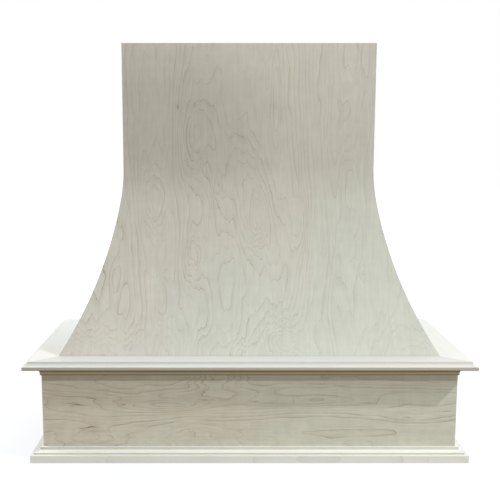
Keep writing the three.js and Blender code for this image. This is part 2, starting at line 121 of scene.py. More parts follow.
@dataclass(frozen=True)
class Term:
    """One value in a node tree. A number is open to ordinary arithmetic."""

    graph: Graph
    node: Node
    output: Union[int, str] = 0

    __add__ = __radd__ = sign("ADD")
    __mul__ = __rmul__ = sign("MULTIPLY")
    __sub__, __rsub__ = sign("SUBTRACT"), sign("SUBTRACT", backwards=True)
    __truediv__, __rtruediv__ = sign("DIVIDE"), sign("DIVIDE", backwards=True)

    def __neg__(self) -> Term:
        """Turns the sign."""
        return self * -1.0

    def beside(self, output: Union[int, str]) -> Term:
        """Gives another of the node's values."""
        return Term(self.graph, self.node, output)

    def of(self, operation: str, *others: Number) -> Term:
        """Applies one of the Math node's operations, such as SQRT or TANH."""
        return self.graph.math(operation, self, *others)

    def squared(self) -> Term:
        """Multiplies the number by itself."""
        return self * self

    def kept(self, low: float, high: float) -> Term:
        """Keeps the number between two others."""
        return self.of("MAXIMUM", low).of("MINIMUM", high)

    def eased(self, low: Number, high: Number) -> Term:
        """Goes smoothly from 0 at low to 1 at high, and stays there."""
        ends = {"Value": self, "From Min": low, "From Max": high}
        return self.graph.add("ShaderNodeMapRange", ends, interpolation_type="SMOOTHSTEP")

    def pick(self, when_one: Number, when_zero: Number) -> Term:
        """Goes from when_zero to when_one as this number goes from 0 to 1."""
        return when_zero + self * (when_one - when_zero)


Number = Union[float, int, Term]


class Graph:
    """Writes nodes and links into one tree."""

    KIND = "ShaderNode"  # how the types of its nodes start, which may be left out

    def __init__(self, tree: NodeTree) -> None:
        """Takes the tree and empties it."""
        self.tree = tree
        tree.nodes.clear()

    def feed(self, socket: NodeSocket, value: Any) -> None:
        """Fills an input.

        Args:
            socket: The input.
            value: A term or a list of terms to link to it, or a plain value to set.
        """
        for item in value if isinstance(value, list) else [value]:
            if isinstance(item, Term):
                self.tree.links.new(item.node.outputs[item.output], socket)
            else:
                socket.default_value = item

    def add(
        self, kind: str, inputs: dict[Any, Any] | None = None, output: Any = 0, **settings: Any
    ) -> Term:
        """Adds a node.

        Args:
            kind: The node's type.
            inputs: What goes into its sockets, by name or place.
            output: Which of its values is wanted, by name or place.
            **settings: Its own properties.

        Returns:
            That value.
        """
        node = self.tree.nodes.new(kind if "Node" in kind else self.KIND + kind)
        for key, value in settings.items():
            setattr(node, key, value)
        for key, value in (inputs or {}).items():
            self.feed(node.inputs[key], value)
        return Term(self, node, output)

    def math(self, operation: str, *operands: Number) -> Term:
        """Adds a Math node."""
        return self.add("ShaderNodeMath", dict(enumerate(operands)), operation=operation)

    def vector(self, *numbers: Number) -> Term:
        """Joins three numbers into a vector."""
        return self.add("ShaderNodeCombineXYZ", dict(enumerate(numbers)))

    def parts(self, vector: Term) -> list[Term]:
        """Splits a vector into its three numbers."""
        split = self.add("ShaderNodeSeparateXYZ", {0: vector})
        return [split.beside(i) for i in range(3)]

    def dot(self, vector: Term, way: Triple) -> Term:
        """Measures a vector along a direction."""
        pair = {0: vector, 1: way}
        return self.add("ShaderNodeVectorMath", pair, "Value", operation="DOT_PRODUCT")

    def noise(
        self, x: Number, y: Number, z: Number, detail: float = 2.0, roughness: float = 0.5
    ) -> Term:
        """Adds soft random values between about 0.2 and 0.8, which change once per unit."""
        place = {"Vector": self.vector(x, y, z), "Scale": 1.0}
        return self.add("ShaderNodeTexNoise", {**place, "Detail": detail, "Roughness": roughness})

    def chance(self, value: Number) -> Term:
        """Gives each whole number its own random value from 0 to 1."""
        return self.add("ShaderNodeTexWhiteNoise", {"W": value}, noise_dimensions="1D")

    def tint(self, factor: Number, first: Any, second: Any) -> Term:
        """Mixes two colours, from the first at 0 to the second at 1."""
        mixed = {0: factor, 6: first, 7: second}
        return self.add("ShaderNodeMix", mixed, 2, data_type="RGBA", clamp_factor=True)

    def brighten(self, colour: Any, factor: Number) -> Term:
        """Multiplies a colour by a number."""
        return self.add("ShaderNodeVectorMath", {0: colour, "Scale": factor}, operation="SCALE")


# ---- wood


@dataclass(frozen=True)
class BoardGrain:
    """The grain of a flat board: it runs one way, and the thickness is stacked another."""

    grain: Triple
    stack: Triple
    middle: float = 0.0

    def read(self, graph: Graph) -> tuple[Term, Term, Term]:
        """Gives the place along the grain, across it, and from the middle of the thickness.

        Args:
            graph: The material's graph.

        Returns:
            The three numbers.
        """
        place = graph.add("TexCoord", output="Object")
        side = tuple(Vector(self.grain).cross(Vector(self.stack)))
        along, across, depth = (graph.dot(place, way) for way in (self.grain, side, self.stack))
        return along, across, depth - self.middle


@dataclass(frozen=True)
class BentGrain:
    """The grain of a bent skin, which its own map and depth carry round the bend."""

    def read(self, graph: Graph) -> tuple[Term, Term, Term]:
        """Gives the place up the skin, across it, and below its outer face.

        Args:
            graph: The material's graph.

        Returns:
            The three numbers.
        """
        across, along, _ = graph.parts(graph.add("UVMap", uv_map=BentBoards.MAP))
        depth = graph.add("Attribute", output="Fac", attribute_name=BentBoards.DEPTH)
        return along, across, depth


Grain = Union[BoardGrain, BentGrain]


@dataclass(frozen=True)
class Wood:
    """The place that is being painted in a piece of wood, and the seed of its chances."""

    graph: Graph
    along: Term
    across: Term
    depth: Term | None
    seed: float

    def face(self, across: float, along: float, shift: float = 0.0, *more: float) -> Term:
        """Adds noise on the face, with so many changes a metre across and along the grain."""
        x, y = self.across * across, self.along * along
        return self.graph.noise(x, y, self.seed + shift, *more)

    def through(self, across: float, along: float, *more: float) -> Term:
        """Adds noise that goes through the thickness, as fine there as across the grain."""
        x, y = self.across * across, self.depth * across
        return self.graph.noise(x, y, self.along * along + self.seed, *more)


@dataclass(frozen=True)
class Spot:
    """An oval place on a face: a swelling of the rings, a dark streak, or a patch of painted light,
    which is painted shade where darker and a painted highlight where paler.
    """

    across: float
    along: float
    width: float
    length: float
    amount: float  # how many rings it lifts, how dark a streak is, or how much painted shade a patch lays on (below nought, a painted highlight)
    lean: float = 0.0  # across the grain for each metre along it

    def away(self, across: Term, along: Term) -> Term:
        """Gives how far out a place lies, squared.

        Args:
            across: The place across the grain.
            along: The place along the grain.

        Returns:
            From 0 in the middle to 1 at the rim, and on.
        """
        aside, beyond = across - self.across, along - self.along
        if self.lean:
            aside = aside - beyond * self.lean
        return (aside / self.width).squared() + (beyond / self.length).squared()

    def hill(self, across: Term, along: Term) -> Term:
        """Gives the amount at a place, which dies away softly outwards."""
        return (-self.away(across, along)).of("EXPONENT") * self.amount

    def patch(self, across: Term, along: Term) -> Term:
        """Gives the amount at a place, which ends at the rim."""
        return (1.0 - self.away(across, along).eased(0.0, 1.0)) * self.amount


def spots(*rows: Sequence[float], roll: Callable[[float], float] = float) -> tuple[Spot, ...]:
    """Makes spots from rows in millimetres, with their places along the grain rolled out."""
    return tuple(Spot(a * MM, roll(b * MM), c * MM, d * MM, *rest) for a, b, c, d, *rest in rows)


@dataclass(frozen=True)
class Figure:
    """The pattern that growth rings make on a face of rotary-cut veneer."""

    seed: float
    swing: float = 7.0  # rings that the broad wander crosses
    drift: float = 3.0  # rings that the finer wander crosses
    warmth: Triple = (0.0, 0.0, 0.5)  # per metre across, per metre along, and at the origin
    fade: float = 0.0  # how much fainter the lines get per metre across
    # patches of painted shade and painted highlight, laid on the veneer's tone
    painted_light_patches: tuple[Spot, ...] = ()
    ovals: tuple[Spot, ...] = ()
    bands: tuple[Triple, ...] = ()  # crowded rings: across and width in mm, and how many
    streaks: tuple[Spot, ...] = ()

    def ring_group(self) -> NodeTree:
        """Builds the group that gives the Ring at a place Across and Along, in metres.

        Returns:
            The group.
        """
        tree = bpy.data.node_groups.new("rings", "ShaderNodeTree")
        for word, way in (("Across", "INPUT"), ("Along", "INPUT"), ("Ring", "OUTPUT")):
            tree.interface.new_socket(word, in_out=way, socket_type="NodeSocketFloat")
        graph = Graph(tree)
        across = graph.add("NodeGroupInput", output="Across")
        along = across.beside("Along")
        wood = Wood(graph, along, across, None, self.seed)
        leant = across + (graph.noise(along * 3.1, self.seed, 4.0, 1.0) - 0.5) * 0.05
        wander, drift = wood.face(4.2, 1.7, 0, 1.2), wood.face(16, 5, 9, 2.5)
        crinkle = wood.face(44, 15, 13, 1.5)
        ring = wander * (2 * self.swing) + drift * self.drift + crinkle * 0.7
        for middle, width, rings in self.bands:
            ring = ring + ((leant - middle * MM) / (width * MM)).of("TANH") * (rings / 2)
        for oval in self.ovals:
            ring = ring + oval.hill(across, along)
        graph.add("NodeGroupOutput", {"Ring": ring})
        return tree

    def lines(self, wood: Wood) -> tuple[Term, Term]:
        """Draws the ring lines.

        Args:
            wood: The place in the wood.

        Returns:
            How strongly a line shows, and how deep the soft shade beside it is.
        """
        graph, across, group = wood.graph, wood.across, self.ring_group()
        ragged, peaked = wood.face(100, 9, 3, 1.8) - 0.5, wood.face(34, 3, 7, 1.0) - 0.5
        along = wood.along + ragged * RAGGED + peaked * PEAKED
        ring, aside, beyond = (
            graph.add("Group", {0: x, 1: y}, node_tree=group)
            for x, y in ((across, along), (across + RING_STEP, along), (across, along + RING_STEP))
        )
        slope = ((aside - ring).squared() + (beyond - ring).squared()).of("SQRT") / RING_STEP
        number = ring.of("ROUND")
        offset = (ring - number) / (slope + 2.0)
        line = 1.0 - offset.of("ABSOLUTE").eased(0.1 * MM, LINE_WIDTH)
        beside = (-offset.of("MAXIMUM", 0.0) / SHADE_WIDTH).of("EXPONENT")
        beside = beside * offset.eased(0.0, 0.2 * MM)
        broken = wood.face(60, 14, 5).eased(0.3, 0.66)
        fine = 1.0 / (slope / 420 + 0.85)
        strength = (0.3 + 0.7 * graph.chance(number)) * (0.3 + 0.7 * broken) * fine
        if self.fade:
            strength = strength * (1.0 - across * self.fade).kept(0.6, 1.35)
        return line * strength, beside * strength

    def marks(self, wood: Wood) -> Term:
        """Draws the short dark marks.

        Args:
            wood: The place in the wood.

        Returns:
            How dark they are.
        """
        wave = wood.graph.noise(wood.along * 40, self.seed, 2.0, 1.0) - 0.5
        waved = wood.across + wave * STREAK_WAVE
        total = sum((streak.hill(waved, wood.along) for streak in self.streaks), 0.0)
        return total * wood.face(900, 30).eased(0.15, 0.5)


# ---- finishes


Looks = tuple[Term, Term, Term]


class Finish:
    """A finish, which paints a material's colour, roughness and height."""

    ground: Colour
    metallic: float = 0.0
    specular: float = 0.35
    bump: float = 0.05 * MM

    def paint(self, wood: Wood) -> Looks:
        """Gives the colour, roughness and height at a place."""
        raise NotImplementedError

    def material(self, name: str, grain: Grain | None = None, seed: float = 0.0) -> Material:
        """Makes the finish for one piece, around one Principled shader.

        Args:
            name: The material's name.
            grain: How the grain lies, if there is any.
            seed: Which part of the wood it is cut from.

        Returns:
            The material.
        """
        material = bpy.data.materials.new(name)
        material.use_nodes = True
        material.diffuse_color = self.ground
        graph = Graph(material.node_tree)
        if grain:
            place = grain.read(graph)
        else:
            place = graph.parts(graph.add("TexCoord", output="Object"))
        colour, roughness, height = self.paint(Wood(graph, *place, seed))
        looks = {
            "Base Color": colour,
            "Roughness": roughness,
            "Metallic": self.metallic,
            "Specular IOR Level": self.specular,
            "Normal": graph.add("Bump", {"Height": height, "Strength": 1.0, "Distance": self.bump}),
        }
        shader = graph.add("BsdfPrincipled", looks)
        graph.add("OutputMaterial", {"Surface": shader})
        return material


@dataclass(frozen=True)
class MapleVeneer(Finish):
    """Rotary-cut maple: a pale cream-grey ground with thin grey-brown ring lines."""

    ground: Colour = shade(186, 188, 178)
    warm: Colour = shade(187, 184, 174)
    line: Colour = shade(136, 123, 102)
    mark: Colour = shade(118, 76, 50)
    line_depth: float = 0.55
    mottling: float = 1.6
    figure: Figure = Figure(0.0)

    def cut(self, name: str, grain: Grain, figure: Figure) -> Material:
        """Makes the finish for one piece, with a figure of its own."""
        return replace(self, figure=figure).material(name, grain, figure.seed)

    def paint(self, wood: Wood) -> Looks:
        """Paints the veneer.

        Args:
            wood: The place in the wood.

        Returns:
            Its colour, roughness and height.
        """
        graph, figure = wood.graph, self.figure
        line, beside = figure.lines(wood)
        fibre, thread, mottle = (
            wood.face(*numbers) - 0.5
            for numbers in ((1500, 42, 0, 2.0, 0.6), (420, 9, 1), (75, 28, 8))
        )
        cloud, curl, patch = (
            wood.face(*numbers) - 0.5
            for numbers in ((9, 3.2, 4), (22, 70, 6, 1.0), (6, 4, 11, 2.5))
        )
        fleck = wood.face(700, 75, 2, 1.0).eased(0.66, 0.8)
        uneven = fibre * 0.10 + thread * 0.11 + mottle * 0.09 + cloud * 0.07 + curl * 0.05
        tone = 1.0 + (uneven - fleck * 0.05) * self.mottling
        # painted light: each patch darkens the tone as painted shade, or lightens it as a painted
        # highlight
        for spot in figure.painted_light_patches:
            tone = tone - spot.patch(wood.across, wood.along)
        by_across, by_along, at_origin = figure.warmth
        warmth = wood.across * by_across + wood.along * by_along + patch * 1.4 + at_origin
        ground = graph.brighten(graph.tint(warmth.eased(0.2, 0.8), self.ground, self.warm), tone)
        ground = graph.tint(beside * (0.35 * self.line_depth), ground, self.line)
        ground = graph.tint(line * self.line_depth, ground, self.line)
        colour = graph.tint(figure.marks(wood), ground, self.mark)
        height = fibre * 0.8 + thread * 0.4 - fleck * 0.5
        return colour, 0.56 + fibre * 0.14 + line * 0.05, height


@dataclass(frozen=True)
class SolidMaple(Finish):
    """Solid maple: straight-grained and paler, with faint rings through its thickness."""

    ground: Colour
    warm: Colour
    line: Colour = shade(170, 160, 140)
    heart: Point = (0.06, -0.19)  # the middle of the rings, across and in depth
    ring: float = 3.4 * MM  # how thick a ring is

    def paint(self, wood: Wood) -> Looks:
        """Paints the maple.

        Args:
            wood: The place in the wood.

        Returns:
            Its colour, roughness and height.
        """
        graph, seed, along, across = wood.graph, wood.seed, wood.along, wood.across
        bend = graph.noise(along * 1.3, across * 2, seed, 1.5) - 0.5
        aside = across - self.heart[0] + bend * 0.09
        below = wood.depth - self.heart[1] + bend * 0.05
        ring = (aside.squared() + below.squared()).of("SQRT") / self.ring
        ring = ring + graph.noise(along * 5, across * 30, seed + 1) * 0.9
        late = ring.of("FRACT").of("POWER", 7.0) * (0.25 + 0.75 * graph.chance(ring.of("FLOOR")))
        fibre, thread = wood.through(1300, 38, 2.0, 0.6) - 0.5, wood.through(330, 6) - 0.5
        fleck, cloud = wood.through(600, 60, 1.0).eased(0.66, 0.8), wood.through(11, 2.4)
        tone = 1.0 + fibre * 0.06 + thread * 0.09 + (cloud - 0.5) * 0.05 - fleck * 0.05
        ground = graph.tint(cloud.eased(0.35, 0.65), self.ground, self.warm)
        colour = graph.tint(late * 0.26, graph.brighten(ground, tone), self.line)
        height = fibre * 0.7 + thread * 0.5 - late * 0.4 - fleck * 0.5
        return colour, 0.52 + fibre * 0.14 + late * 0.05, height


@dataclass(frozen=True)
class BirchPlywood(Finish):
    """Birch plywood: a plain warm face, and edges striped by its plies."""

    plies: int = 13
    thickness: float = 18 * MM
    middle: float = 0.5  # where the depth is counted from: 0.5 the middle, 0 the outer face
    ground: Colour = shade(220, 202, 168)
    end: Colour = shade(182, 150, 110)
    glue: Colour = shade(104, 76, 50)
    specular: float = 0.3
    bump: float = 0.09 * MM

    def paint(self, wood: Wood) -> Looks:
        """Paints the plywood.

        Args:
            wood: The place in the wood.

        Returns:
            Its colour, roughness and height.
        """
        graph, seed, along, across = wood.graph, wood.seed, wood.along, wood.across
        level = (wood.depth / self.thickness + self.middle) * self.plies
        level = level.kept(0.35, self.plies - 0.35)
        waver = graph.noise(along * 8, across * 8, seed, 1.0) - 0.5
        inside = level.eased(0.5, 0.9) * (self.plies - level).eased(0.5, 0.9)
        level = level + waver * 0.3 * inside
        turned = (level.of("FLOOR") * 0.5).of("FRACT") * 2
        joint = (level.of("FRACT") - 0.5).of("ABSOLUTE").eased(0.43, 0.48) * inside
        lengthwise, crosswise = (
            graph.noise(along * a, across * b, wood.depth * 900 + seed, roughness=0.6)
            for a, b in ((30, 900), (900, 30))
        )
        fibre = turned.pick(crosswise, lengthwise) - 0.5
        figure = graph.noise(along * 3, across * 26, seed + 2) - 0.5
        void = graph.noise(along * 60, across * 60, level + seed, 1.0).eased(0.7, 0.78)
        colour = graph.tint(turned * 0.75, self.ground, self.end)
        colour = graph.brighten(colour, 0.98 + fibre * 0.3 + figure * 0.16)
        colour = graph.tint(joint * 0.7 + void * turned * inside * 0.7, colour, self.glue)
        height = fibre * 1.1 - joint * 0.7 - turned * 0.2
        return colour, 0.66 + fibre * 0.2 + turned * 0.1, height


@dataclass(frozen=True)
class Poplar(Finish):
    """Poplar: a soft greenish tan, with broad, vague rings."""

    ground: Colour = shade(212, 200, 164)
    green: Colour = shade(184, 180, 138)
    late: Colour = shade(150, 134, 92)
    heart: Point = (-0.05, -0.07)  # the middle of the rings, across and in depth
    ring: float = 4.5 * MM  # how thick a ring is
    specular: float = 0.3
    bump: float = 0.09 * MM

    def paint(self, wood: Wood) -> Looks:
        """Paints the poplar.

        Args:
            wood: The place in the wood.

        Returns:
            Its colour, roughness and height.
        """
        graph = wood.graph
        bend = graph.noise(wood.along * 4, wood.across * 9, wood.seed, 1.5)
        aside, below = wood.across - self.heart[0], wood.depth - self.heart[1]
        ring = (aside.squared() + below.squared()).of("SQRT") / self.ring + bend * 3
        late, fibre = ring.of("FRACT").of("POWER", 3.0), wood.through(1100, 34, 2.0, 0.6) - 0.5
        stain = wood.through(24, 5).eased(0.42, 0.66)
        colour = graph.tint(stain * 0.7, self.ground, self.green)
        colour = graph.brighten(graph.tint(late * 0.35, colour, self.late), 0.98 + fibre * 0.24)
        return colour, 0.68 + fibre * 0.2, fibre - late * 0.3


@dataclass(frozen=True)
class ZincSteel(Finish):
    """Zinc-plated steel, dulled a little, with rub marks."""

    ground: Colour = shade(198, 200, 204)
    dull: Colour = shade(158, 158, 156)
    metallic: float = 1.0
    specular: float = 0.5
    bump: float = 0.02 * MM

    def paint(self, wood: Wood) -> Looks:
        """Paints the steel.

        Args:
            wood: The place on it, in x, y and z.

        Returns:
            Its colour, roughness and height.
        """
        graph, (x, y, z) = wood.graph, (wood.along, wood.across, wood.depth)
        cloud = graph.noise(x * 420, y * 420, z * 420, 3.0)
        rub = graph.noise(x * 1900, y * 1900, z * 300)
        colour = graph.tint(cloud.eased(0.35, 0.7), self.ground, self.dull)
        return colour, 0.3 + cloud * 0.2 + (rub - 0.5) * 0.12, rub


# ---- plain meshes


def link(name: str, data: Any) -> Object:
    """Puts something into the scene as a new object.

    Args:
        name: The object's name.
        data: A mesh, a lamp or a camera.

    Returns:
        The object.
    """
    thing = bpy.data.objects.new(name, data)
    bpy.context.scene.collection.objects.link(thing)
    return thing


def settle(piece: Object) -> None:
    """Turns an object and its modifiers into one plain mesh.

    Args:
        piece: The object, whose modifiers are used and removed.
    """
    bpy.context.view_layer.update()
    graph = bpy.context.evaluated_depsgraph_get()
    made = piece.evaluated_get(graph)
    mesh = bpy.data.meshes.new_from_object(made, preserve_all_data_layers=True, depsgraph=graph)
    piece.modifiers.clear()
    old, piece.data = piece.data, mesh
    mesh.name = piece.name
    bpy.data.meshes.remove(old)
    if len(mesh.materials) > 1 and mesh.materials[0] is None:
        mesh.materials.pop(index=0)  # the bare base's empty slot, which no face uses


def work_up(piece: Object, place: Matrix, sharp: float = SHARP, flat: float = 0.0) -> None:
    """Puts a closed mesh in place, eases its arrises and shades its curves smoothly.

    Args:
        piece: The object.
        place: Where its mesh goes.
        sharp: Edges sharper than this angle are arrises.
        flat: Neighbouring faces within this angle are made one.
    """
    mesh = bmesh.new()
    mesh.from_mesh(piece.data)
    mesh.transform(place)
    bmesh.ops.remove_doubles(mesh, verts=mesh.verts, dist=1e-6)
    if flat:
        bmesh.ops.dissolve_limit(mesh, angle_limit=flat, verts=mesh.verts, edges=mesh.edges)
    bmesh.ops.recalc_face_normals(mesh, faces=mesh.faces)
    mesh.to_mesh(piece.data)
    mesh.free()
    bevel = piece.modifiers.new("arris", "BEVEL")
    bevel.width, bevel.segments = ARRIS, 2
    bevel.limit_method, bevel.angle_limit = "ANGLE", sharp
    settle(piece)
    piece.data.shade_smooth()
    piece.data.set_sharp_from_angle(angle=CREASE)


def dress(piece: Object, slot: str, *replaced: str) -> None:
    """Makes a finished piece ride on the cover and stand for its CAD nodes.

    Args:
        piece: The piece.
        slot: What it is made of; not used.
        *replaced: The nodes that it stands for.
    """
    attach(piece, "root")
    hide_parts(*replaced)
    faces = len(piece.data.polygons)
    log.info("%s: %d faces, stands for %s", piece.name, faces, ", ".join(replaced))


# ---- runs and sections


@dataclass(frozen=True)
class Run:
    """A straight run of board or moulding along the front, left or right face.

    Its ends are given at reach 0, and each moves by its mitre for every metre of reach.
    """

    side: str
    outward: Triple
    distance: float  # how far out the face stands
    start: float
    start_mitre: float
    end: float
    end_mitre: float

    @property
    def along(self) -> Triple:
        """The way it runs."""
        return ACROSS if self.side == "front" else INWARD

    @property
    def place(self) -> Matrix:
        """Takes (along, reach, z) to the CAD frame."""
        columns = (self.along, self.outward, UP, Vector(self.outward) * self.distance)
        return Matrix([(*way, float(i == 3)) for i, way in enumerate(columns)]).transposed()


RUN_SIZES = ("start", "start_mitre", "end", "end_mitre")


def arc(centre: Point, radii: Point, start: float, end: float, flats: int) -> list[Point]:
    """Gives points on an elliptical arc.

    Args:
        centre: Its centre, (reach, z).
        radii: Its radii, (reach, z).
        start: First angle, in quarter turns.
        end: Last angle, in quarter turns.
        flats: How many flats it is cut into.

    Returns:
        The points, both ends included.
    """
    angles = [(start + (end - start) * i / flats) * math.pi / 2 for i in range(flats + 1)]
    (reach, z), (wide, high) = centre, radii
    return [(reach + wide * math.cos(a), z + high * math.sin(a)) for a in angles]


# ---- geometry recipes


class Recipe(Graph):
    """A Geometry Nodes tree with named inputs, which makes plain meshes."""

    KIND = "GeometryNode"

    def __init__(self, name: str, **kinds: Iterable[str]) -> None:
        """Starts the tree.

        Args:
            name: The tree's name.
            **kinds: The names of its inputs, under their kinds, such as Float.
        """
        super().__init__(bpy.data.node_groups.new(name, "GeometryNodeTree"))
        new_socket = self.tree.interface.new_socket
        for way in ("INPUT", "OUTPUT"):
            new_socket("Geometry", in_out=way, socket_type="NodeSocketGeometry")
        self.names = {
            word: new_socket(word, in_out="INPUT", socket_type=f"NodeSocket{kind}").identifier
            for kind, words in kinds.items()
            for word in words
        }
        self.source = self.add("NodeGroupInput")

    def __getitem__(self, word: str) -> Term:
        """Gives one of the tree's inputs."""
        return self.source.beside(word)

    def along(self, reach: Term, part: Term) -> Term:
        """Places a point along a run, between its two cut ends."""
        start, end = (self[word] + self[f"{word}_mitre"] * reach for word in ("start", "end"))
        return start + (end - start) * part

    def close(self, shape: Term, **finished: Any) -> None:
        """Ends the tree in Realize Instances and Set Material.

        Args:
            shape: What the tree makes.
            **finished: For each finish among the inputs, which faces get it.
        """
        shape = self.add("RealizeInstances", {0: shape})
        for word, faces in finished.items():
            finish = {0: shape, "Selection": faces, "Material": self[word]}
            shape = self.add("SetMaterial", finish)
        self.add("NodeGroupOutput", {0: shape})

    def make(self, name: str, base: Mesh, **inputs: Any) -> Object:
        """Makes one plain mesh.

        Args:
            name: The piece's name.
            base: The mesh that goes into the tree.
            **inputs: What each named input is set to.

        Returns:
            The piece.
        """
        piece = link(name, base)
        modifier = piece.modifiers.new("recipe", "NODES")
        modifier.node_group = self.tree
        for word, identifier in self.names.items():
            modifier[identifier] = inputs[word]
        settle(piece)
        return piece


class MouldedRuns(Recipe):
    """Sweeps a section along a run, and cuts both ends to their mitres."""

    def __init__(self) -> None:
        """Builds the tree."""
        super().__init__("moulded_run", Float=RUN_SIZES, Material=("finish",))
        section = self["Geometry"]
        sweep = {"Mesh": section, "Individual": False, "Offset": ACROSS, "Offset Scale": 1.0}
        swept = self.add("ExtrudeMesh", sweep, mode="FACES")
        joined = self.add("JoinGeometry", {0: [swept, self.add("FlipFaces", {0: section})]})
        whole = self.add("MergeByDistance", {0: joined})
        part, reach, height = self.parts(self.add("InputPosition"))
        place = self.vector(self.along(reach, part), reach, height)
        self.close(self.add("SetPosition", {0: whole, "Position": place}), finish=True)

    def sweep(self, name: str, section: Sequence[Point], run: Run, finish: Material) -> Object:
        """Makes one moulded run.

        Args:
            name: The piece's name.
            section: The section's outline.
            run: Where it runs.
            finish: Its finish.

        Returns:
            The piece, in place.
        """
        base = bpy.data.meshes.new(name)
        base.from_pydata([(0.0, *point) for point in section], [], [range(len(section))])
        piece = self.make(name, base, **vars(run), finish=finish)
        work_up(piece, run.place)
        return piece


@dataclass(frozen=True)
class Flare:
    """The rule of the body's outer face: upright, then two tangent arcs out to the foot."""

    top: float = 36 * INCH - 274 * MM
    foot: float = 228.6 * MM
    reach: float = 138 * MM
    upper_radius: float = 420 * MM
    sweep: float = math.radians(10.5)

    @property
    def knee(self) -> Point:
        """How far the upper arc goes out, and how far it comes down."""
        sweep, radius = self.sweep, self.upper_radius
        return radius * (1 - math.cos(sweep)), radius * math.sin(sweep)

    @property
    def lower_radius(self) -> float:
        """The radius of the lower arc."""
        drop, out = self.top - self.foot - self.knee[1], self.reach - self.knee[0]
        lean = out * math.cos(self.sweep) - drop * math.sin(self.sweep)
        return (drop**2 + out**2) / (2 * lean)

    @property
    def lower_centre(self) -> Point:
        """The centre of the lower arc, as (reach, z)."""
        radius, (out, down) = self.lower_radius, self.knee
        return out + radius * math.cos(self.sweep), self.top - down + radius * math.sin(self.sweep)

    def unrolled(self, z: float) -> float:
        """Gives the height of a point once the face is rolled out flat upwards.

        Args:
            z: The point's height on the cover.

        Returns:
            Its height on the flat sheet.
        """
        top, radius, down = self.top, self.upper_radius, self.top - z
        if down <= 0:
            return z
        if down <= self.knee[1]:
            return top - radius * math.asin(down / radius)
        turned = math.asin((self.lower_centre[1] - z) / self.lower_radius) - self.sweep
        return top - radius * self.sweep - self.lower_radius * turned


class BentBoards(Recipe):
    """Makes boards that follow the flare: a block of fine slices, bent by the rule."""

    MAP, DEPTH, FACE = "unrolled", "depth", "face"
    LEVELS = 201
    SHARP = math.radians(50)

    def __init__(self, flare: Flare) -> None:
        """Builds the tree.

        Args:
            flare: The rule that the boards follow.
        """
        sizes = (*RUN_SIZES, "outer_depth", "inner_depth", "top", "bottom")
        super().__init__("flared_board", Float=sizes, Material=("face", "back", "edge"))
        self.flare = flare
        cube = {"Size": (1, 1, 1), "Vertices X": 2, "Vertices Y": 2, "Vertices Z": self.LEVELS}
        shape = self.add("MeshCube", cube)
        part, outward, rise = (v + 0.5 for v in self.parts(self.add("InputPosition")))
        depth = outward.pick(self["outer_depth"], self["inner_depth"])
        height = rise.pick(self["top"], self["bottom"])
        for word, domain, value in ((self.FACE, "FACE", outward), (self.DEPTH, "POINT", depth)):
            kept = {0: shape, "Name": word, "Value": value}
            shape = self.add("StoreNamedAttribute", kept, domain=domain, data_type="FLOAT")
        reach = self.reach(height, depth)
        place = self.vector(self.along(reach, part), reach, height)
        shape = self.add("SetPosition", {0: shape, "Position": place})
        side = self.add("InputNamedAttribute", {"Name": self.FACE}, "Attribute", data_type="FLOAT")
        face, back = side.of("GREATER_THAN", 0.99), side.of("LESS_THAN", 0.01)
        self.close(shape, edge=True, face=face, back=back)

    def reach(self, height: Term, depth: Term) -> Term:
        """Writes the rule of the flare as nodes.

        Args:
            height: The height of a point.
            depth: How deep it lies below the outer face.

        Returns:
            How far it stands out.
        """
        flare, below = self.flare, self.flare.top - height
        out, centre = flare.lower_centre
        upper, lower = (
            middle - ((depth + radius).squared() - drop.squared()).of("SQRT")
            for middle, radius, drop in (
                (flare.upper_radius, flare.upper_radius, below),
                (out, flare.lower_radius, centre - height),
            )
        )
        knee = (below - depth * math.sin(flare.sweep)).of("LESS_THAN", flare.knee[1])
        return below.of("LESS_THAN", 0.0).pick(-depth, knee.pick(upper, lower))

    def bend(self, name: str, run: Run, **inputs: Any) -> Object:
        """Makes one flared board, with a map of it rolled out flat.

        Args:
            name: The piece's name.
            run: Where it runs.
            **inputs: Its depths, heights and finishes, under the names of the tree's inputs.

        Returns:
            The piece, in place.
        """
        piece = self.make(name, bpy.data.meshes.new(name), **vars(run), **inputs)
        work_up(piece, run.place, self.SHARP)
        mesh, along = piece.data, Vector(run.along)
        unrolled = mesh.uv_layers.new(name=self.MAP)
        for loop, spot in zip(mesh.loops, unrolled.data):
            place = mesh.vertices[loop.vertex_index].co
            spot.uv = place.dot(along), self.flare.unrolled(place.z)
        return piece


@dataclass(frozen=True)
class Screw:
    """The sizes of a countersunk wood screw."""

    length: float
    radius: float = 2 * MM
    core: float = 1.45 * MM
    head_radius: float = 4.2 * MM
    head_height: float = 2.4 * MM
    point: float = 6 * MM
    socket: float = 2.8 * MM
    socket_depth: float = 1.6 * MM
    pitch: float = 2.2 * MM


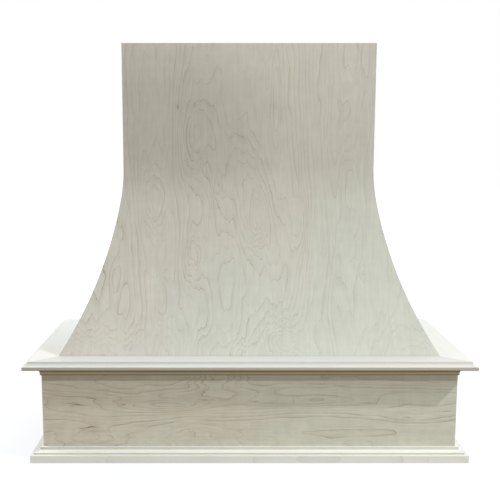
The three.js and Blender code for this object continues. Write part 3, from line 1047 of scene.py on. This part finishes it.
class ScrewSets(Recipe):
    """Drives a set of equal screws, one at each point of a mesh."""

    TURN = "turn"
    SIDES = 40
    LAP = 0.05 * MM  # how far the shank goes into the head
    THREADED = 0.62  # how much of the shank has a thread
    CREASE = math.radians(30)

    def __init__(self) -> None:
        """Builds the tree."""
        sizes = [size.name for size in fields(Screw)]
        super().__init__("screw_set", Float=sizes, Material=["finish"])
        length, radius, core, head_radius, head_height, point, width, depth, pitch = (
            self[size] for size in sizes
        )
        shank_top = length - head_height
        head = self.cone(core, head_radius, shank_top, head_height)
        size = self.vector(width, width, depth * 2)
        both = {"Mesh 1": head, "Mesh 2": self.lifted(self.add("MeshCube"), length, Scale=size)}
        cut = self.add("MeshBoolean", both, operation="DIFFERENCE", solver="EXACT")
        shank = self.cone(core, core, point, shank_top - point + self.LAP)
        tip = self.cone(0.0, core, 0.0, point)
        height, ridge = (length - point) * self.THREADED, radius - core
        middle = core + ridge * 0.4
        coil = {"Resolution": 24, "Rotations": height / pitch, "Height": height}
        coil |= {"Start Radius": middle, "End Radius": middle}
        profile = self.add("CurvePrimitiveCircle", {"Resolution": 3, "Radius": ridge})
        wound = {0: self.add("CurveSpiral", coil), "Profile Curve": profile, "Fill Caps": True}
        thread = self.lifted(self.add("CurveToMesh", wound), point)
        whole = self.add("JoinGeometry", {0: [cut, shank, tip, thread]})
        named = {"Name": self.TURN}
        turn = self.add("InputNamedAttribute", named, "Attribute", data_type="FLOAT_VECTOR")
        turned = self.add("FunctionNodeEulerToRotation", {0: turn})
        driven = {0: self["Geometry"], "Instance": whole, "Rotation": turned}
        self.close(self.add("InstanceOnPoints", driven), finish=True)

    def lifted(self, shape: Term, height: Number, **inputs: Term) -> Term:
        """Lifts a shape, and scales it if a Scale is given."""
        lift = {0: shape, "Translation": self.vector(0.0, 0.0, height), **inputs}
        return self.add("Transform", lift)

    def cone(self, low: Number, high: Number, bottom: Number, height: Number) -> Term:
        """Adds a cone or shank, with its two radii, its foot's height and its own."""
        cone = {"Vertices": self.SIDES, "Radius Bottom": low, "Radius Top": high, "Depth": height}
        return self.lifted(self.add("MeshCone", cone), bottom)

    def drive(self, name: str, screw: Screw, nodes: Sequence[str], finish: Material) -> Object:
        """Makes one set of screws in the places of their CAD nodes.

        Args:
            name: The piece's name.
            screw: Their sizes.
            nodes: The nodes.
            finish: Their finish.

        Returns:
            The piece, in place.
        """
        heart = sum(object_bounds(), Vector()) / 2
        tips, backs = [], []
        for low, high in map(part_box, nodes):
            tip, size = (low + high) / 2, high - low
            axis = max(range(3), key=lambda i: size[i])
            way = math.copysign(1.0, tip[axis] - heart[axis])  # away from the cover's middle
            tip[axis] += way * size[axis] / 2
            tips.append(tip)
            backs.append(Vector([-way * (i == axis) for i in range(3)]))
        base = bpy.data.meshes.new(name)
        base.from_pydata(tips, [], [])
        turns = base.attributes.new(self.TURN, "FLOAT_VECTOR", "POINT")
        for spot, back in zip(turns.data, backs):
            spot.vector = Vector(UP).rotation_difference(back).to_euler()
        piece = self.make(name, base, **vars(screw), finish=finish)
        piece.data.shade_smooth()
        piece.data.set_sharp_from_angle(angle=self.CREASE)
        return piece


# ---- sub-assemblies


@dataclass
class Cover:
    """The frame's nodes, and the sizes that the whole cover shares."""

    nodes: dict[str, Object]
    height: float = 36 * INCH
    wall: float = 265.9 * MM
    apron_half: float = 18 * INCH
    apron_front: float = -229.4 * MM
    apron_height: float = 210.5 * MM
    neck_inset: float = 171.5 * MM
    flare: Flare = field(default_factory=Flare)
    moulder: MouldedRuns = field(default_factory=MouldedRuns)

    def runs(self, inset: float = 0.0) -> list[Run]:
        """Gives the runs round three faces, mitred at the corners with a glue line between.

        Args:
            inset: How far in the faces stand from the apron's.

        Returns:
            The front, left and right run.
        """
        half, front = self.apron_half - inset, self.apron_front + inset
        back = GLUE_LINE / 2 * math.sqrt(2)
        sides = (("left", (-1.0, 0.0, 0.0)), ("right", ACROSS))
        return [
            Run("front", (0.0, -1.0, 0.0), -front, back - half, -1, half - back, 1),
            *(Run(side, way, half, front + back, -1, self.wall, 0) for side, way in sides),
        ]


@dataclass
class Body:
    """The three bent skins, with maple veneer on a thin plywood."""

    cover: Cover
    skin: float = 9.5 * MM
    warmth: Triple = (-1.6, 2.2, -0.4)

    def front_figure(self) -> Figure:
        """Lays out the loops and bands of the front skin.

        Returns:
            The figure.
        """
        roll = self.cover.flare.unrolled
        ovals = spots(
            # the tall oval in the middle, and the arches above it
            (22, 509.5, 17, 50, 3.4), (12, 560, 48, 150, 5.4, -0.22),
            # the swirl on the left of the neck, and the knot below it
            (-118, 700, 40, 85, 4.2), (-125, 820, 36, 120, 3.0),
            (-67, 600, 14, 22, 1.9), (-218, 575, 30, 75, 4.2),
            # the narrow loop and the points on the right of the neck
            (62.5, 820, 12, 125, -3.4), (228, 900, 30, 95, -3.2),
            (264, 880, 13, 80, -2.2), (262, 735, 17, 65, -2.6),
            # the flare, from left to right
            (-300, 395, 16, 45, 2.4), (-197, 345, 10, 45, 2.2), (-197, 335, 34, 85, 3.6),
            (-127, 445, 18, 40, 3.2), (-124, 435, 36, 70, 2.6), (-45, 400, 28, 90, -3.0),
            (118, 500, 20, 85, -3.2), (215, 450, 45, 85, -2.4), (232, 600, 26, 90, -3.2),
            (260, 392, 8, 20, 1.8),
            # the foot
            (80, 262, 30, 22, 2.6), (80, 250, 62, 80, 6.4), (-95, 235, 30, 50, 3.2),
            (-10, 229, 40, 30, 2.8), (-245, 229, 30, 50, 3.4), (-360, 229, 90, 55, 5.0),
            (370, 229, 80, 60, 5.0),
            roll=roll,
        )
        bands = (
            (-262, 20, 3), (-160, 26, 5), (-83, 16, 3), (128, 30, 8), (187, 14, 4), (330, 30, 3),
        )
        streaks = spots(
            (-160.5, 774, 2.2, 4.5, 0.55), (-122, 778, 2.5, 5, 0.35), (-115, 674, 6, 10, 0.12),
            (-67, 600, 2, 7, 0.25), (-208, 890, 1.6, 14, 0.25), (60, 775, 5, 12, 0.13),
            roll=roll,
        )
        # painted shade on the left of the neck, and three small painted highlights: at the neck's
        # top right, and low on the flare at the left and right
        painted_light_patches = spots(
            (-150, 745, 270, 200, 0.15), (224, 849, 16, 42, -0.07),
            (-219, 366, 30, 65, -0.06), (327, 313, 28, 60, -0.04),
            roll=roll,
        )
        return Figure(3.7, 4.5, 3.0, self.warmth, 1.5, painted_light_patches, ovals, bands, streaks)

    def side_figure(self, seed: float) -> Figure:
        """Lays out a plainer figure for a side skin.

        Args:
            seed: Which part of the wood it is cut from.

        Returns:
            The figure.
        """
        ovals = spots(
            (50, 550, 30, 90, 4.5), (150, 360, 35, 60, 4.0),
            (-40, 330, 30, 50, 3.6), (100, 780, 28, 90, -3.6),
            roll=self.cover.flare.unrolled,
        )
        bands = ((-10, 20, 5), (200, 30, 7), (100, 15, 3))
        return Figure(seed, warmth=self.warmth, ovals=ovals, bands=bands)

    def build(self) -> None:
        """Makes and dresses the skins."""
        cover, grain, boards = self.cover, BentGrain(), BentBoards(self.cover.flare)
        veneer = MapleVeneer()
        lining = MapleVeneer(shade(212, 198, 170), shade(208, 188, 154), line_depth=0.35)
        shared = {
            "outer_depth": 0.0,
            "inner_depth": self.skin,
            "top": cover.height,
            "bottom": cover.flare.foot,
            "edge": BirchPlywood(7, self.skin, 0.0).material("skin_edge", grain, 5.0),
        }
        figures = (self.front_figure(), self.side_figure(21.3), self.side_figure(34.9))
        for run, figure in zip(cover.runs(cover.neck_inset), figures):
            name = f"skin_{run.side}"
            face = veneer.cut(f"{name}_face", grain, figure)
            back = lining.cut(f"{name}_back", grain, Figure(figure.seed + 50))
            piece = boards.bend(f"{name}_bent", run, face=face, back=back, **shared)
            dress(piece, "maple_veneer", name)


@dataclass(frozen=True)
class Moulding:
    """One moulding round the apron: its outline, its wood, and a darker maple painted on it as
    shade.
    """

    section: list[Point]
    maple: SolidMaple
    edge: SolidMaple  # a darker maple painted on its bands as shade: painted shade
    bands: tuple[Point, ...]  # the heights that those bands of painted shade lie between


@dataclass
class Trim:
    """The ledge, with the bed moulding under it and the base moulding at the foot."""

    cover: Cover
    ledge_thickness: float = 17.5 * MM
    ledge_overhang: float = 36.5 * MM
    ledge_width: float = 150 * MM
    nose_height: float = 7.8 * MM
    nose_radius: float = 2.2 * MM
    ledge_cove: float = 11.2 * MM
    quirk: float = 1.5 * MM
    bed_height: float = 17 * MM
    bed_head: float = 11 * MM
    bed_foot: float = 3 * MM
    bed_fillet: float = 2.2 * MM
    bed_painted_shade_start: float = 6.2 * MM  # how high up the bed moulding its painted shade starts, which runs on up under the ledge
    base_projection: float = 26 * MM
    fascia: float = 16.6 * MM
    tread: float = 8 * MM
    lower_step: float = 4.6 * MM
    base_cove: Point = (11.5 * MM, 5.2 * MM)
    upper_step: float = 4.6 * MM

    def ledge(self) -> Moulding:
        """Draws the ledge: a flat top, a quirk, a hollow and an upright nose.

        Returns:
            The ledge.
        """
        bottom = self.cover.apron_height + GLUE_LINE
        top, nose_top = bottom + self.ledge_thickness, bottom + self.nose_height
        over, back = self.ledge_overhang, self.ledge_overhang - self.ledge_width
        radius, cove_top = self.nose_radius, top - self.quirk
        section = [
            (back, bottom),
            *arc((over - radius, bottom + radius), (radius, radius), -1, 0, 8),
            *arc((over, cove_top), (self.ledge_cove, cove_top - nose_top), 3, 2, 18),
            (over - self.ledge_cove, top),
            (back, top),
        ]
        maple = SolidMaple(shade(199, 201, 198), shade(200, 198, 192))
        # painted shade: a darker maple for the upright faces of the nose band, standing for the
        # shade that falls on the nose
        edge = SolidMaple(shade(174, 170, 156), shade(174, 166, 150))
        return Moulding(section, maple, edge, ((bottom + 0.02 * MM, nose_top),))

    def bed(self) -> Moulding:
        """Draws the bed moulding: a hollow between two narrow bands.

        Returns:
            The moulding.
        """
        top, fillet = self.cover.apron_height, self.bed_fillet
        bottom = top - self.bed_height
        radii = (self.bed_head - self.bed_foot, self.bed_height - 2 * fillet)
        section = [
            (GLUE_LINE, bottom),
            (self.bed_foot, bottom),
            *arc((self.bed_head, bottom + fillet), radii, 2, 1, 18),
            (self.bed_head, top),
            (GLUE_LINE, top),
        ]
        # warmer than the ledge's maple: partly its own board, partly painted warm shade for its
        # place under the ledge
        maple = SolidMaple(shade(203, 194, 172), shade(200, 188, 164), shade(150, 132, 104))
        # painted shade: a dark maple for the lower fillet, standing for the shadow line beneath it,
        # and for the hollow's upper part in the shade under the ledge
        edge = SolidMaple(shade(140, 128, 104), shade(138, 124, 100))
        bands = ((bottom, bottom + fillet), (bottom + self.bed_painted_shade_start, top + GLUE_LINE))
        return Moulding(section, maple, edge, bands)

    def base(self) -> Moulding:
        """Draws the base moulding: a fascia, a flat tread, a step, a hollow and a step.

        Returns:
            The moulding.
        """
        step = self.base_projection - self.tread
        cove_top = self.fascia + self.lower_step + self.base_cove[1]
        top = cove_top + self.upper_step
        section = [
            (GLUE_LINE, 0.0),
            (self.base_projection, 0.0),
            (self.base_projection, self.fascia),
            (step, self.fascia),
            *arc((step, cove_top), self.base_cove, 3, 2, 16),
            (step - self.base_cove[0], top),
            (GLUE_LINE, top),
        ]
        maple = SolidMaple(shade(227, 230, 225), shade(227, 227, 219))
        # painted shade: a darker maple for the upright steps above the fascia, standing for the
        # shade in them
        edge = SolidMaple(shade(203, 205, 197), shade(203, 201, 191))
        return Moulding(section, maple, edge, ((self.fascia + 0.2 * MM, 2 * top),))

    def build(self) -> None:
        """Makes and dresses the three mouldings, each from its own board of maple."""
        bed, moulder = self.bed(), self.cover.moulder
        # paler than the front board: partly a tone step that shows the mitre, partly painted light
        # on the wings' tops
        side_ledge = SolidMaple(shade(212, 214, 210), shade(215, 213, 207))
        mouldings = {"ledge": self.ledge(), "bed_moulding": bed, "base_moulding": self.base()}
        for seed, (word, moulding) in enumerate(mouldings.items()):
            for run in self.cover.runs():
                name, ledge = f"{word}_{run.side}", word == "ledge"
                grain, start = BoardGrain(run.along, UP, 0.1 * seed), 3.1 * seed + len(run.side)
                maple = side_ledge if ledge and run.side != "front" else moulding.maple
                finish = maple.material(f"{name}_maple", grain, start)
                piece = moulder.sweep(f"{name}_moulded", moulding.section, run, finish)
                # painted shade: each moulding's darker maple, and the bed's darkest maple for the
                # shadow under the ledge's nose
                for part, painted_shade_maple in (("edge", moulding.edge), ("under", bed.edge)):
                    piece.data.materials.append(painted_shade_maple.material(f"{name}_{part}", grain, start + 1))
                # painted shade: upright faces in the bands take the darker maple, and on the ledge
                # the nose's underside takes the painted shadow
                for polygon in piece.data.polygons:
                    height, up = polygon.center.z, polygon.normal.z
                    if up < EDGE_ON and any(low < height < high for low, high in moulding.bands):
                        polygon.material_index = 2 if ledge and up < UNDERSIDE else 1
                dress(piece, "solid_maple", name)


@dataclass
class Apron:
    """The three boards of the straight box below the ledge."""

    cover: Cover
    board: float = 19 * MM
    warmth: Triple = (0.0, -1.2, 0.4)
    veneer: MapleVeneer = MapleVeneer(
        ground=shade(197, 197, 184),
        warm=shade(199, 193, 178),
        line=shade(138, 116, 88),
        line_depth=0.66,
        mottling=2.1,
    )

    def front_figure(self) -> Figure:
        """Lays out the long loops and the dark streaks of the front board.

        Returns:
            The figure.
        """
        ovals = spots(
            (125, -160, 14, 98, 4.2), (137, -105, 6, 30, 1.8), (212, -68, 50, 50, -6.0),
            (55, -350, 20, 58, 2.8), (30, -130, 42, 60, -3.4), (55, -122, 12, 9, 1.4),
            (136, 120, 15, 125, 3.2), (62, 245, 14, 110, 1.6), (95, 360, 12, 80, 1.5),
        )
        streaks = spots(
            (129, -392, 1.2, 14, 0.55), (125.5, -378, 1.3, 12, 0.90), (122.5, -388, 1, 10, 0.50),
            (75, -352, 1.2, 13, 0.95), (71.5, -372, 1.1, 9, 0.75), (65.5, -345, 1.2, 14, 0.35),
            (64, -345, 7, 24, 0.10), (125, -278, 1.6, 5, 0.60), (137, -100, 1.2, 16, 0.40),
            (56, -121, 6, 1.8, 0.45), (67, -22, 2, 8, 0.25), (135, 13, 2, 6, 0.25),
            (134, 97, 6, 1.5, 0.35), (171, 200, 1.2, 12, 0.35), (132, 262, 1.4, 12, 0.35),
            (96, 352, 1.2, 9, 0.40), (70, 245, 2, 6, 0.25), (110, 435, 1, 8, 0.50),
        )
        bands = ((100, 16, 4), (160, 15, 4))
        return Figure(12.6, 3.0, 3.4, self.warmth, ovals=ovals, bands=bands, streaks=streaks)

    def side_figure(self, seed: float) -> Figure:
        """Lays out a plainer figure for a side board."""
        ovals = spots((120, 20, 18, 120, 4.0), (60, 140, 20, 90, 3.0))
        return Figure(seed, swing=3.0, ovals=ovals, bands=((90, 20, 4),))

    def build(self) -> None:
        """Makes and dresses the boards."""
        plywood, top = BirchPlywood(13, self.board), self.cover.apron_height
        section = [(0.0, 0.0), (0.0, top), (-self.board, top), (-self.board, 0.0)]
        figures = (self.front_figure(), self.side_figure(41.7), self.side_figure(58.2))
        for run, figure in zip(self.cover.runs(), figures):
            name = f"apron_{run.side}"
            grain = BoardGrain(run.along, tuple(Vector(UP).cross(Vector(run.along))))
            face = self.veneer.cut(f"{name}_face", grain, figure)
            stack = tuple(map(abs, run.outward))
            plies = BoardGrain(UP, stack, sum(run.outward) * (run.distance - self.board / 2))
            piece = self.cover.moulder.sweep(f"{name}_board", section, run, face)
            edge = plywood.material(f"{name}_edge", plies, 7.0 + len(run.side))
            piece.data.materials.append(edge)
            for polygon in piece.data.polygons:
                if abs(polygon.normal.dot(Vector(stack))) < EDGE_ON:
                    polygon.material_index = 1
            dress(piece, "maple_veneer", name)


@dataclass
class Carcass:
    """What holds the cover together inside: ribs, rails, soles, blocks and cleats."""

    cover: Cover
    words: tuple[str, ...] = ("rib", "rail", "sole", "block", "cleat")

    def build(self) -> None:
        """Copies the CAD nodes with eased arrises, and dresses them."""
        nodes, woods = self.cover.nodes, {"birch_plywood": BirchPlywood(), "poplar": Poplar()}
        found = [(w, n) for w in self.words for n in sorted(nodes) if w in n and "screw" not in n]
        for seed, (word, name) in enumerate(found):
            slot = "poplar" if word in ("block", "cleat") else "birch_plywood"
            finish = woods[slot].material(f"{name}_wood", self.grain(name), 1.7 * seed)
            piece = link(f"{name}_eased", nodes[name].data.copy())
            work_up(piece, nodes[name].matrix_world, flat=COPLANAR)
            piece.data.materials.clear()
            piece.data.materials.append(finish)
            dress(piece, slot, name)

    def grain(self, name: str) -> BoardGrain:
        """Says how the grain lies in one of the pieces.

        Args:
            name: Its CAD node.

        Returns:
            The grain.
        """
        if name.startswith("hip_rib"):
            side, root = 1 if name.endswith("right") else -1, math.sqrt(0.5)
            front, left, _ = self.cover.runs(self.cover.neck_inset)
            return BoardGrain(UP, (side * root, root, 0.0), (left.distance - front.distance) * root)
        low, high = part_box(name)
        size, middle = high - low, (high + low) / 2
        thin, _, long = sorted(range(3), key=lambda i: size[i])
        if name.startswith(("sole", "top_rail")):
            thin, long = 2, int(size[0] <= size[1])
        axes = (ACROSS, INWARD, UP)
        return BoardGrain(axes[long], axes[thin], middle[thin])


@dataclass
class Fasteners:
    """The wood screws, in two sets of one length each."""

    cover: Cover
    sole_screw: Screw = Screw(32.3 * MM)
    block_screw: Screw = Screw(46.8 * MM)

    def build(self) -> None:
        """Makes and dresses both sets."""
        finish, sets = ZincSteel().material("zinc_steel_dull"), ScrewSets()
        for word, screw in (("sole_screw", self.sole_screw), ("block_screw", self.block_screw)):
            nodes = sorted(name for name in self.cover.nodes if name.startswith(word))
            dress(sets.drive(f"{word}s", screw, nodes, finish), "zinc_steel", *nodes)


# ---- studio


class LampKind(Enum):
    """The kinds of lamp in the studio."""

    SUN = "SUN"
    PANEL = "AREA"


@dataclass(frozen=True)
class Lamp:
    """One lamp. A panel's power is in watts, and its size is its side in metres.

    A sun's place is the way to it, its power is in watts a square metre and its size in degrees.
    """

    name: str
    place: Triple
    power: float
    size: float
    aim: Triple = (0.0, 0.0, 0.45)
    colour: Triple = (1.0, 1.0, 1.0)
    kind: LampKind = LampKind.PANEL

    def light(self) -> None:
        """Puts the lamp in the scene."""
        data = bpy.data.lights.new(self.name, self.kind.value)
        data.energy, data.color = self.power, self.colour
        if self.kind is LampKind.SUN:
            data.angle = math.radians(self.size)
        else:
            data.shape, data.size = "SQUARE", self.size
        lamp, towards = link(self.name, data), Vector(self.aim) - Vector(self.place)
        lamp.location, lamp.visible_camera = self.place, False
        lamp.rotation_euler = towards.to_track_quat("-Z", "Y").to_euler()


@dataclass
class Studio:
    """The camera, the lamps, the pale floor and the white surroundings."""

    eye: Triple = (-0.0601, -2.3262, 0.6995)
    pitch: float = math.radians(10.36)
    lens: float = 70.64
    sensor: float = 36.0
    shift: Point = (0.0555, 0.14)
    sky: float = 0.66
    sky_tint: Colour = (0.93, 0.98, 1.0, 1.0)
    floor_half: float = 12.0
    floor_drop: float = -0.2 * MM
    floor_grey: Colour = shade(156, 149, 136)
    glow: float = 0.76
    far_glow: float = 0.2
    glow_tint: Colour = (0.86, 0.91, 1.0, 1.0)
    lamps: tuple[Lamp, ...] = (
        Lamp("key", (-0.5, -3.0, 3.06), 0.85, 0.6, kind=LampKind.SUN),
        Lamp("low_right", (2.53, -1.15, 2.43), 73.0, 0.12),
        Lamp("front_low", (0.2, -2.0, 0.35), 4.9, 0.8, (0.0, -0.2, 0.3), (1.0, 0.92, 0.80)),
        Lamp("from_wall", (0.4, 1.4, 2.6), 12.0, 1.2, (0.0, 0.1, 0.3)),
        Lamp("from_left", (-1.5, 0.2, 1.5), 11.0, 0.5, (-0.42, 0.0, 0.23)),
        Lamp("behind", (-0.3, 2.3, 0.5), 11.0, 0.9, (0.0, 0.27, 0.45)),
        Lamp("over_neck", (0.03, -0.3, 1.2), 0.38, 0.4, (0.0, 0.0, 0.9)),
    )

    def camera(self) -> None:
        """Sets up the camera."""
        data = bpy.data.cameras.new("camera")
        data.lens, data.sensor_width = self.lens, self.sensor
        data.shift_x, data.shift_y = self.shift
        camera = bpy.context.scene.camera = link("camera", data)
        camera.location = self.eye
        camera.rotation_euler = (math.pi / 2 - self.pitch, 0.0, 0.0)

    def seen(self, graph: Graph) -> Term:
        """Gives 1 for rays that look at the surroundings, straight or in gloss or glass.

        Args:
            graph: The tree that asks.

        Returns:
            1 for them, and 0 for light on its way.
        """
        seen = graph.add("LightPath", output="Is Camera Ray")
        gloss, glass = seen.beside("Is Glossy Ray"), seen.beside("Is Transmission Ray")
        return seen.of("MAXIMUM", gloss).of("MAXIMUM", glass)

    def surroundings(self) -> None:
        """Makes the world white to look at, and a soft sky as light, brightest overhead."""
        world = bpy.context.scene.world = bpy.data.worlds.new("surroundings")
        world.use_nodes = True
        graph = Graph(world.node_tree)
        above = graph.parts(graph.add("TexCoord", output="Generated"))[2].eased(0.05, 0.8)
        seen = self.seen(graph)
        tint, strength = graph.tint(seen, self.sky_tint, WHITE), seen.pick(1.0, above * self.sky)
        light = graph.add("Background", {"Color": tint, "Strength": strength})
        graph.add("OutputWorld", {"Surface": light})

    def floor(self) -> None:
        """Lays a warm grey floor, clear from below.

        To the eye a glow makes it white, more so far away, and it keeps the cover's shadow.
        """
        mesh = bpy.data.meshes.new("floor")
        corners = ((-1, -1), (1, -1), (1, 1), (-1, 1))
        half, drop = self.floor_half, self.floor_drop
        mesh.from_pydata([(x * half, y * half, drop) for x, y in corners], [], [range(4)])
        material = bpy.data.materials.new("pale_floor")
        material.use_nodes = True
        graph = Graph(material.node_tree)
        matt = graph.add("BsdfDiffuse", {"Color": self.floor_grey})
        x, y, _ = graph.parts(graph.add("TexCoord", output="Object"))
        far = (x.squared() + y.squared()).of("SQRT").eased(0.8, 2.6)
        strength = self.seen(graph) * (far * self.far_glow + self.glow)
        glow = graph.add("Emission", {"Color": self.glow_tint, "Strength": strength})
        lit = graph.add("AddShader", {0: matt, 1: glow})
        under = graph.add("NewGeometry", output="Backfacing")
        clear = graph.add("BsdfTransparent")
        both = graph.add("MixShader", {0: under, 1: lit, 2: clear})
        graph.add("OutputMaterial", {"Surface": both})
        mesh.materials.append(material)
        link("floor", mesh)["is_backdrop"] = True

    def build(self) -> None:
        """Sets up the whole studio."""
        bpy.context.scene.view_settings.view_transform = "Standard"
        self.camera()
        self.surroundings()
        self.floor()
        for lamp in self.lamps:
            lamp.light()
        log.info("studio: %d lamps, floor and surroundings", len(self.lamps))


def main() -> None:
    """Builds the cover and its studio."""
    logging.basicConfig(level=logging.INFO, format="%(name)s: %(message)s")
    cover = Cover(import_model()["nodes"])
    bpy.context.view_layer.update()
    for assembly in (Body, Trim, Apron, Carcass, Fasteners):
        assembly(cover).build()
    Studio().build()


if __name__ == "__main__":
    main()
